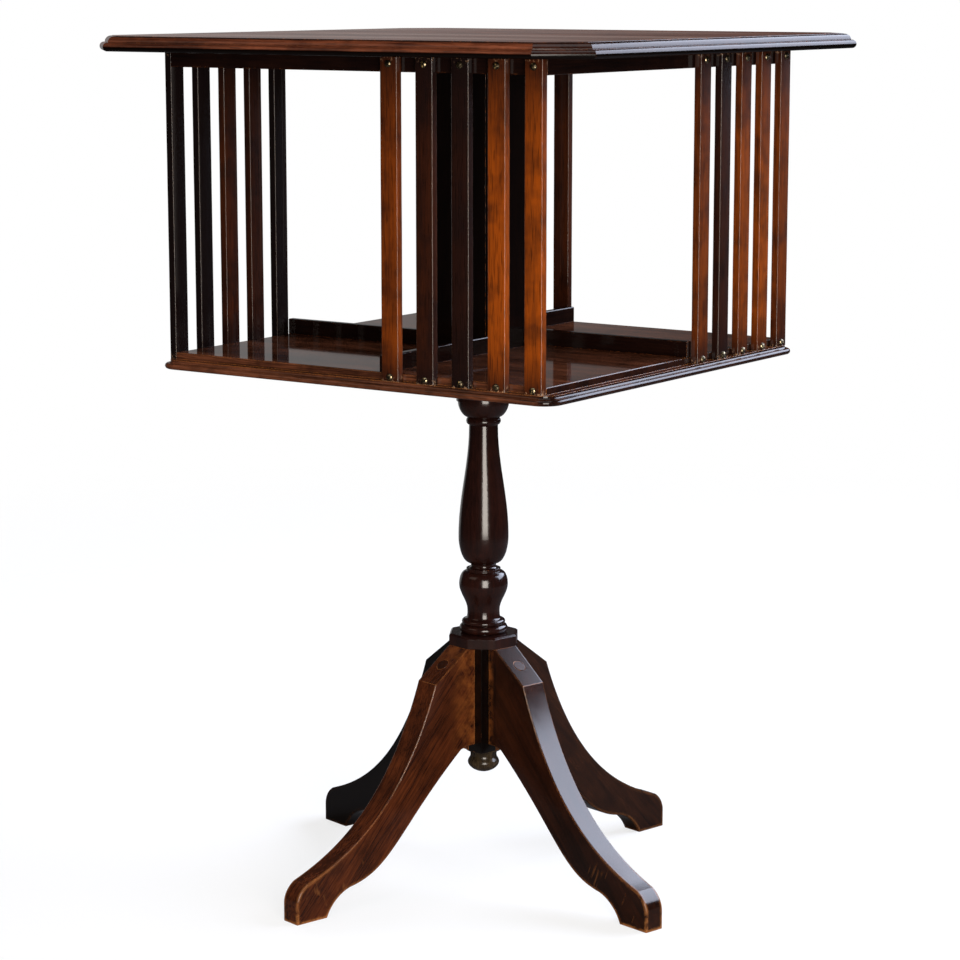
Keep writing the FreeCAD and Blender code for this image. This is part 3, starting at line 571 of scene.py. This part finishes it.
# %% [markdown]
# ## French polish
# French polish covers the wood with a thin, level film of shellac. The film is the shader's coat, with
# almost no gloss of its own left to the wood beneath, and that is what makes the dark parts look deep.
# Its normal is rounded at the arrises, so they catch the light, and on the old top it is a little wavy.

# %% Wood under shellac
SHELLAC_IOR = 1.5
RELIEF = 0.02 * MM
SATIN_MM = 9.0
SATIN_RANGE = (0.3, 0.7)
WOOD_ROUGHNESS = (0.34, 0.5)


def polished_mahogany(name, dark, light, grain=(0, 0, 1), blotches=0.55, shade=None, marks=(), rubs=(),
                      worn="#a8602c", wear=0.5, wear_mm=0.8, turned=(0.97, 0.80), broken=(0.36, 0.60),
                      arris_mm=0.6, ripple_mm=None, gloss=0.06, film_weight=0.9, sheen=0.0):
    """Wood that runs along grain, with its marks and its rubbed places. ripple_mm is how wavy the film
    has become, gloss is the film's roughness, and sheen is how much the wood itself shines."""
    material = bpy.data.materials.new(name)
    material.use_nodes = True
    tree = material.node_tree
    tree.nodes.clear()
    turn = Vector((0, 0, 1)).rotation_difference(Vector(grain)).to_euler()
    place = add_node(tree, "ShaderNodeTexCoord")
    colour, stripe, figure = timber(tree, place, turn, dark, light, blotches, shade)
    for mark in marks:
        colour = mark(tree, place, turn, colour)
    bare = worn_arrises(tree, place, wear, wear_mm, turned, broken)
    for rub in rubs:
        more = add_node(tree, "ShaderNodeMath", {0: bare, 1: rub(tree, place)}, operation="MAXIMUM",
                        use_clamp=True)
        bare = more.outputs[0]
    old = add_node(tree, "ShaderNodeMix", {"Factor": bare, 6: colour, 7: srgb(worn)}, data_type="RGBA")
    rounded = add_node(tree, "ShaderNodeBevel", {"Radius": arris_mm * MM}, samples=BEVEL_SAMPLES)
    film = rounded.outputs[0]
    if ripple_mm:
        ripple = add_node(tree, "ShaderNodeBump", {"Height": stripe, "Normal": film, "Strength": 1.0,
                          "Distance": ripple_mm * MM})
        film = ripple.outputs[0]
    relief = add_node(tree, "ShaderNodeBump", {"Height": figure, "Normal": rounded.outputs[0],
                      "Strength": 1.0, "Distance": RELIEF})
    rough = add_node(tree, "ShaderNodeMapRange", {"Value": spots(tree, place, SATIN_MM, *SATIN_RANGE),
                     "To Min": WOOD_ROUGHNESS[0], "To Max": WOOD_ROUGHNESS[1]})
    shader = add_node(tree, "ShaderNodeBsdfPrincipled", {"Base Color": old.outputs[2],
                      "Roughness": rough.outputs[0], "Normal": relief.outputs[0], "IOR": SHELLAC_IOR,
                      "Specular IOR Level": sheen, "Coat Weight": film_weight, "Coat Roughness": gloss,
                      "Coat IOR": SHELLAC_IOR, "Coat Normal": film})
    add_node(tree, "ShaderNodeOutputMaterial", {"Surface": shader.outputs[0]})
    return material


print("shellac: IOR", SHELLAC_IOR)

# %% [markdown]
# ## Wood for each piece
# Every board came from another plank and has faded in its own way. The grain runs the long way of each
# piece: along X in the top and base, upright in the post and column, and down the slope in the legs. On the
# top and the base, the faces that look along X are darkened as painted shade.

# %% Top and base
ALONG_X = (1, 0, 0)
ALONG_Y = (0, 1, 0)
# The thin band at the top arris is made darker, and the band under the top's bead is painted shade, where the
# bead turns down away from the light.
TOP_ARRIS_BAND = (764.0 * MM, 765.5 * MM)
TOP_BEAD_UNDERSIDE_SHADE = (750.0 * MM, 756.0 * MM)

# On the top and the base, the faces that look along X are darkened: painted shade.
# The grey streaks on the level top are faded polish and a painted reflection of the page.
top_wood = polished_mahogany("top mahogany", "#28100a", "#7c422a", ALONG_X, wear=0.3, ripple_mm=0.06,
                             gloss=0.14, film_weight=0.45, marks=(sheen_and_fading_streaks(width_mm=64.0),
                             painted_side_shade("X"), black_band(*TOP_ARRIS_BAND), black_band(*TOP_BEAD_UNDERSIDE_SHADE)))
base_wood = polished_mahogany("base mahogany", "#20100a", "#7c4830", ALONG_X, worn="#c0752f", wear=1.0,
                              film_weight=0.6, marks=(painted_side_shade("X"),))
rail_wood_x = polished_mahogany("rail mahogany along x", "#0b0505", "#1f0f0a", ALONG_X, film_weight=0.5)
rail_wood_y = polished_mahogany("rail mahogany along y", "#0b0505", "#1f0f0a", ALONG_Y, film_weight=0.5)
print("level woods:", top_wood.name + ",", base_wood.name + ",", rail_wood_x.name, "and y")

# %% Upright woods
BLOCK_FOOT = 120 * MM
BLOCK_HEAD = 217 * MM
SLAT_FOOT = 484 * MM
SLAT_HEAD = 752 * MM
SLAT_DARK = "#120b0b"

post_wood = polished_mahogany("post mahogany", "#070404", "#120907", gloss=0.08, film_weight=0.6)
# The sides of the column's block, between its foot and head, are made darker.
column_wood = polished_mahogany("turned mahogany", "#160a09", "#2e150f", wear=0.1, gloss=0.16,
                                marks=(black_band(BLOCK_FOOT, BLOCK_HEAD),))
pendant_wood = polished_mahogany("pendant mahogany", "#15100b", "#51432f", wear=0.1, gloss=0.2)
# The slats' bare colour is nearly white, so their dotted arris lines are a painted highlight as well as bare
# wood.
# The slats' ends are darker: dirt, and below the head a painted shadow of the top.
slat_wood = polished_mahogany("slat mahogany", SLAT_DARK, "#883e0b", shade="tone_and_shade", worn="#e0b088",
                              wear=0.85, wear_mm=0.9, gloss=0.05, film_weight=0.6, sheen=0.03,
                              marks=(dirt_and_shade_ends(SLAT_FOOT, SLAT_HEAD, SLAT_DARK),),
                              rubs=(spotted_ends(SLAT_FOOT, SLAT_HEAD),))
print("upright woods:", post_wood.name + ",", column_wood.name + ",", pendant_wood.name, "and slats")

# %% Legs
LEG_SLOPE = math.radians(48)
ROOT_NARROW = 32 * MM
ROOT_WIDE = 54 * MM


def leg_wood(number, dark, light, wear, scratches, root):
    """The wood of one leg, with its grain down the slope of that leg."""
    low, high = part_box("leg_%d" % number)
    middle = (low + high) / 2
    outward = Vector((middle.x, middle.y, 0)).normalized()
    downhill = outward * math.cos(LEG_SLOPE) - Vector((0, 0, math.sin(LEG_SLOPE)))
    return polished_mahogany("leg %d mahogany" % number, dark, light, downhill, worn="#b57440", wear=wear,
                             wear_mm=1.4, turned=(0.99, 0.92), broken=(0.28, 0.50), arris_mm=1.0,
                             gloss=0.14, marks=(rubbed_root(*root),),
                             rubs=(scratched_foot(scratches), knocked_toe(wear)))


leg_woods = [
    leg_wood(1, "#150a07", "#361a0e", wear=0.85, scratches=0.5, root=(ROOT_NARROW, 0.6)),
    leg_wood(2, "#180c08", "#391e10", wear=0.35, scratches=0.0, root=(ROOT_NARROW, 0.6)),
    leg_wood(3, "#080404", "#120a08", wear=0.1, scratches=0.0, root=(ROOT_NARROW, 0.3)),
    leg_wood(4, "#26110a", "#633118", wear=0.8, scratches=0.25, root=(ROOT_WIDE, 0.5)),
]
pellet_wood = polished_mahogany("pellet mahogany", "#200f09", "#4d2715", wear=0.2, gloss=0.2)
print("legs:", [wood.name for wood in leg_woods])

# %% [markdown]
# ## Metals and plain pine
# The slat screws, the bushes and the washer are old brass: a yellow metal that goes dull and brown in
# patches, so that only parts of it glint. The rest of the turning gear and its screws are drawn steel, which
# is grey, and brighter where it is smooth. The blocks inside the post are pine straight from the saw: pale,
# matt wood that is never seen from outside.

# %% Metals and pine
TARNISH_DETAIL = 3.0
TARNISH_ROUGHNESS = 0.7
TARNISH_RANGE = (0.40, 0.62)


def tarnished_metal(name, bright, dull, patch_mm, smooth, rough):
    """Metal that goes from bright and smooth to dull and rough in patches about patch_mm across."""
    material = bpy.data.materials.new(name)
    material.use_nodes = True
    tree = material.node_tree
    tree.nodes.clear()
    place = add_node(tree, "ShaderNodeTexCoord")
    patch = add_node(tree, "ShaderNodeTexNoise", {"Vector": place.outputs["Object"],
                     "Scale": pattern_scale(patch_mm), "Detail": TARNISH_DETAIL,
                     "Roughness": TARNISH_ROUGHNESS})
    spread = add_node(tree, "ShaderNodeMapRange", {"Value": patch.outputs[0],
                      "From Min": TARNISH_RANGE[0], "From Max": TARNISH_RANGE[1]})
    colour = add_node(tree, "ShaderNodeMix", {"Factor": spread.outputs[0], 6: srgb(bright), 7: srgb(dull)},
                      data_type="RGBA")
    polish = add_node(tree, "ShaderNodeMapRange", {"Value": spread.outputs[0], "To Min": smooth,
                      "To Max": rough})
    shader = add_node(tree, "ShaderNodeBsdfPrincipled", {"Base Color": colour.outputs[2], "Metallic": 1.0,
                      "Roughness": polish.outputs[0]})
    add_node(tree, "ShaderNodeOutputMaterial", {"Surface": shader.outputs[0]})
    return material


old_brass = tarnished_metal("tarnished brass", "#9c8f72", "#1f1812", patch_mm=3.0, smooth=0.18, rough=0.5)
drawn_steel = tarnished_metal("drawn steel", "#8e8e8e", "#4b4845", patch_mm=6.0, smooth=0.28, rough=0.5)
sawn_pine = polished_mahogany("sawn pine", "#8f6a3c", "#c9a56d", gloss=0.5, wear=0.0, blotches=0.1)
print("metals:", old_brass.name, "and", drawn_steel.name)

# %% [markdown]
# ## Give every piece of joinery its finish
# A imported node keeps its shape. Only its material slot changes, chosen by what the piece is.

# %% Assign the finishes
GRAIN_ALONG_X = ("front", "back")
METAL_PIECES = {"thrust_washer": old_brass, "base_bush": old_brass, "upper_bush": old_brass,
                "column_plate": old_brass}
BLOCKS = ("post_foot_block", "upper_bearing_block")


def finish_for(name):
    """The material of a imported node, by its name."""
    if name in METAL_PIECES:
        return METAL_PIECES[name]
    if name in BLOCKS:
        return sawn_pine
    if name == "slat_screws":
        return old_brass
    if name == "top_board":
        return top_wood
    if name == "base_board":
        return base_wood
    if name.startswith("post_board"):
        return post_wood
    if name.startswith("slat_"):
        return slat_wood
    if name.startswith(("top_rail", "book_stop")):
        return rail_wood_x if name.endswith(GRAIN_ALONG_X) else rail_wood_y
    if name == "column":
        return column_wood
    if name == "pendant":
        return pendant_wood
    if name == "leg_pellets":
        return pellet_wood
    if name.startswith("leg_") and name != "leg_screws":
        return leg_woods[int(name[-1]) - 1]
    return drawn_steel


for name, piece in nodes.items():
    piece.data.materials.clear()
    piece.data.materials.append(finish_for(name))
print("finished", len(nodes), "nodes")

# %% [markdown]
# ## Slats
# A slat is a thin planed batten with its arrises rubbed round by hand. Twenty of them are the same but
# for their wood, so Geometry Nodes make one and set it on twenty points. The points come from the packed
# slats, and each carries the way its slat faces and how light its wood is; on the left face, seen from
# inside the case, that lightness is painted shade. The one slat is a rounded rectangle drawn along a line,
# and a slow noise leaves it a little uneven, as hand-planed wood is.

# %% The points that the slats stand on
FACES = ("front", "right", "back", "left")
SLATS_PER_FACE = 5
SLAT_TONES_AND_SHADE = {
    "front": (0.95, 0.95, 0.04, 0.10, 0.58),
    "right": (0.55, 0.90, 0.80, 0.08, 0.50),
    "back": (0.45, 0.80, 0.25, 0.60, 0.15),
    # The left face's slats are made nearly black: painted shade, for the inside of the case where they are
    # seen.
    "left": (0.0, 0.0, 0.16, 0.10, 0.0),
}


def slat_places():
    """For each slat: the middle of its foot, the quarter turn of its face, and how light its wood is; on the
    left face this is painted shade.
    """
    places = []
    for quarter, face in enumerate(FACES):
        for number in range(SLATS_PER_FACE):
            low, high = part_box("slat_%s_%d" % (face, number + 1))
            foot = Vector(((low.x + high.x) / 2, (low.y + high.y) / 2, low.z))
            places.append((foot, quarter * math.pi / 2, SLAT_TONES_AND_SHADE[face][number]))
    return places


def points_mesh(name, rows, attributes):
    """Loose points that carry float attributes, for Geometry Nodes to set pieces on."""
    mesh = bpy.data.meshes.new(name)
    mesh.from_pydata([row[0] for row in rows], [], [])
    for column, attribute in enumerate(attributes):
        layer = mesh.attributes.new(attribute, "FLOAT", "POINT")
        layer.data.foreach_set("value", [row[column + 1] for row in rows])
    holder = bpy.data.objects.new(name, mesh)
    bpy.context.scene.collection.objects.link(holder)
    return holder


slat_rows = slat_places()
slat_low, slat_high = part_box("slat_front_1")
slat_size = slat_high - slat_low
print("slats:", len(slat_rows), "of", [round(v / MM, 1) for v in slat_size], "mm")

# %% The tree that makes a slat and sets it on each point
def new_tree(name, inputs):
    """An empty node tree with a geometry in and out, and named float inputs."""
    tree = bpy.data.node_groups.new(name, "GeometryNodeTree")
    tree.interface.new_socket("Geometry", in_out="INPUT", socket_type="NodeSocketGeometry")
    tree.interface.new_socket("Geometry", in_out="OUTPUT", socket_type="NodeSocketGeometry")
    for title in inputs:
        tree.interface.new_socket(title, in_out="INPUT", socket_type="NodeSocketFloat")
    return tree


def grow(holder, tree, values):
    """Run a tree on an object, with its named inputs, and return the result as one plain mesh object."""
    modifier = holder.modifiers.new(tree.name, "NODES")
    modifier.node_group = tree
    for item in tree.interface.items_tree:
        if item.in_out == "INPUT" and item.name in values:
            modifier[item.identifier] = values[item.name]
    depsgraph = bpy.context.evaluated_depsgraph_get()
    mesh = bpy.data.meshes.new_from_object(holder.evaluated_get(depsgraph), depsgraph=depsgraph)
    holder.modifiers.remove(modifier)
    piece = bpy.data.objects.new(tree.name, mesh)
    bpy.context.scene.collection.objects.link(piece)
    bpy.data.objects.remove(holder)
    return piece


SLAT_ARRIS = 0.8 * MM
ARRIS_STEPS = 3
SLAT_STATIONS = 28
SWAY_MM = 60.0
UNEVENNESS = 0.35 * MM

slat_tree = new_tree("slats", ("Width", "Thickness", "Length", "Arris", "Unevenness"))
given = add_node(slat_tree, "NodeGroupInput")
outline = add_node(slat_tree, "GeometryNodeCurvePrimitiveQuadrilateral", {
    "Width": given.outputs["Width"], "Height": given.outputs["Thickness"]})
rounded = add_node(slat_tree, "GeometryNodeFilletCurve", {"Curve": outline.outputs[0],
                   "Count": ARRIS_STEPS, "Radius": given.outputs["Arris"], "Limit Radius": True}, mode="POLY")
tip = add_node(slat_tree, "ShaderNodeCombineXYZ", {"Z": given.outputs["Length"]})
middle_line = add_node(slat_tree, "GeometryNodeCurvePrimitiveLine", {"End": tip.outputs[0]})
stations = add_node(slat_tree, "GeometryNodeResampleCurve", {"Curve": middle_line.outputs[0],
                    "Count": SLAT_STATIONS})
batten = add_node(slat_tree, "GeometryNodeCurveToMesh", {"Curve": stations.outputs[0],
                  "Profile Curve": rounded.outputs[0], "Fill Caps": True})
standing = add_node(slat_tree, "GeometryNodeInstanceOnPoints", {"Points": given.outputs["Geometry"],
                    "Instance": batten.outputs[0]})
facing = add_node(slat_tree, "GeometryNodeInputNamedAttribute", {"Name": "facing"}, data_type="FLOAT")
turned = add_node(slat_tree, "ShaderNodeCombineXYZ", {"Z": facing.outputs[0]})
slat_tree.links.new(turned.outputs[0], standing.inputs["Rotation"])
real = add_node(slat_tree, "GeometryNodeRealizeInstances", {0: standing.outputs[0]})
sway = add_node(slat_tree, "ShaderNodeTexNoise", {"Scale": pattern_scale(SWAY_MM), "Detail": 2.0})
centred = add_node(slat_tree, "ShaderNodeVectorMath", {0: sway.outputs["Color"], 1: (0.5, 0.5, 0.5)},
                   operation="SUBTRACT")
flat = add_node(slat_tree, "ShaderNodeVectorMath", {0: centred.outputs[0], 1: (1, 1, 0)},
                operation="MULTIPLY")
small = add_node(slat_tree, "ShaderNodeVectorMath", {0: flat.outputs[0],
                 "Scale": given.outputs["Unevenness"]}, operation="SCALE")
planed = add_node(slat_tree, "GeometryNodeSetPosition", {"Geometry": real.outputs[0],
                  "Offset": small.outputs[0]})
clad = add_node(slat_tree, "GeometryNodeSetMaterial", {"Geometry": planed.outputs[0],
                "Material": slat_wood})
add_node(slat_tree, "NodeGroupOutput", {0: clad.outputs[0]})

slats = grow(points_mesh("slat_points", slat_rows, ("facing", "tone_and_shade")), slat_tree, {
    "Width": slat_size.x, "Thickness": slat_size.y, "Length": slat_size.z, "Arris": SLAT_ARRIS,
    "Unevenness": UNEVENNESS})
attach(slats, "case")
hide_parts(*["slat_%s_%d" % (face, number + 1)
                     for face in FACES for number in range(SLATS_PER_FACE)])
print("slats:", len(slats.data.polygons), "faces")

# %% [markdown]
# ## Round-headed screws
# Each slat is held by a brass screw at its head and another at its foot. The head is a low dome with a
# slot cut across it, made once from a squashed sphere by two boolean cuts, then set on forty points. The
# bar that cuts the slot is centred on the dome's tip, so it is twice as high as the slot is deep. No
# joiner lines up the slots, so each one is turned by a random angle from a fixed seed.

# %% Screws
SCREW_SEED = 11
SCREW_HEAD_R = 3.2 * MM
SCREW_DOME = 2.2 * MM
SLOT_WIDTH = 0.75 * MM
SLOT_DEPTH = 1.0 * MM
CUTTER = 10 * MM
BALL_SEGMENTS = 20
BALL_RINGS = 12


def screw_places():
    """For each screw: the middle of its head's seat, the quarter turn of its face, and its slot's angle."""
    chance = random.Random(SCREW_SEED)
    low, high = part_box("slat_screws")
    foot_z = low.z + SCREW_HEAD_R
    head_z = high.z - SCREW_HEAD_R
    places = []
    for foot, turn, _ in slat_rows:
        outward = Vector((math.sin(turn), -math.cos(turn), 0))
        for height in (foot_z, head_z):
            seat = Vector((foot.x, foot.y, height)) + outward * slat_size.y / 2
            places.append((seat, turn, chance.uniform(0, math.pi)))
    return places


screw_tree = new_tree("slat_round_head_screws", ("Radius", "Dome", "Slot Width", "Slot Bar"))
given = add_node(screw_tree, "NodeGroupInput")
ball = add_node(screw_tree, "GeometryNodeMeshUVSphere", {"Segments": BALL_SEGMENTS, "Rings": BALL_RINGS,
                "Radius": 1.0})
squash = add_node(screw_tree, "ShaderNodeCombineXYZ", {"X": given.outputs["Radius"],
                  "Y": given.outputs["Radius"], "Z": given.outputs["Dome"]})
dome = add_node(screw_tree, "GeometryNodeTransform", {"Geometry": ball.outputs[0],
                "Scale": squash.outputs[0]})
below = add_node(screw_tree, "GeometryNodeMeshCube", {"Size": (CUTTER, CUTTER, CUTTER)})
sunk = add_node(screw_tree, "GeometryNodeTransform", {"Geometry": below.outputs[0],
                "Translation": (0, 0, -CUTTER / 2)})
slot_size = add_node(screw_tree, "ShaderNodeCombineXYZ", {"X": CUTTER, "Y": given.outputs["Slot Width"],
                     "Z": given.outputs["Slot Bar"]})
slot_bar = add_node(screw_tree, "GeometryNodeMeshCube", {"Size": slot_size.outputs[0]})
slot_rise = add_node(screw_tree, "ShaderNodeCombineXYZ", {"Z": given.outputs["Dome"]})
slot_place = add_node(screw_tree, "GeometryNodeTransform", {"Geometry": slot_bar.outputs[0],
                      "Translation": slot_rise.outputs[0]})
half = add_node(screw_tree, "GeometryNodeMeshBoolean", {0: dome.outputs[0], 1: sunk.outputs[0]},
                operation="DIFFERENCE")
head = add_node(screw_tree, "GeometryNodeMeshBoolean", {0: half.outputs[0], 1: slot_place.outputs[0]},
                operation="DIFFERENCE")
slot_angle = add_node(screw_tree, "GeometryNodeInputNamedAttribute", {"Name": "slot_angle"},
                      data_type="FLOAT")
facing = add_node(screw_tree, "GeometryNodeInputNamedAttribute", {"Name": "facing"}, data_type="FLOAT")
spin = add_node(screw_tree, "ShaderNodeCombineXYZ", {"Z": slot_angle.outputs[0]})
lie = add_node(screw_tree, "ShaderNodeCombineXYZ", {"X": math.pi / 2, "Z": facing.outputs[0]})
spun = add_node(screw_tree, "FunctionNodeEulerToRotation", {0: spin.outputs[0]})
laid = add_node(screw_tree, "FunctionNodeEulerToRotation", {0: lie.outputs[0]})
aimed = add_node(screw_tree, "FunctionNodeRotateRotation", {0: laid.outputs[0], 1: spun.outputs[0]},
                 rotation_space="LOCAL")
driven = add_node(screw_tree, "GeometryNodeInstanceOnPoints", {"Points": given.outputs["Geometry"],
                  "Instance": head.outputs[0], "Rotation": aimed.outputs[0]})
real = add_node(screw_tree, "GeometryNodeRealizeInstances", {0: driven.outputs[0]})
clad = add_node(screw_tree, "GeometryNodeSetMaterial", {"Geometry": real.outputs[0],
                "Material": old_brass})
add_node(screw_tree, "NodeGroupOutput", {0: clad.outputs[0]})

screws = grow(points_mesh("screw_points", screw_places(), ("facing", "slot_angle")), screw_tree, {
    "Radius": SCREW_HEAD_R, "Dome": SCREW_DOME, "Slot Width": SLOT_WIDTH, "Slot Bar": SLOT_DEPTH * 2})
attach(screws, "case")
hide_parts("slat_screws")
print("screws:", len(screws.data.polygons), "faces")
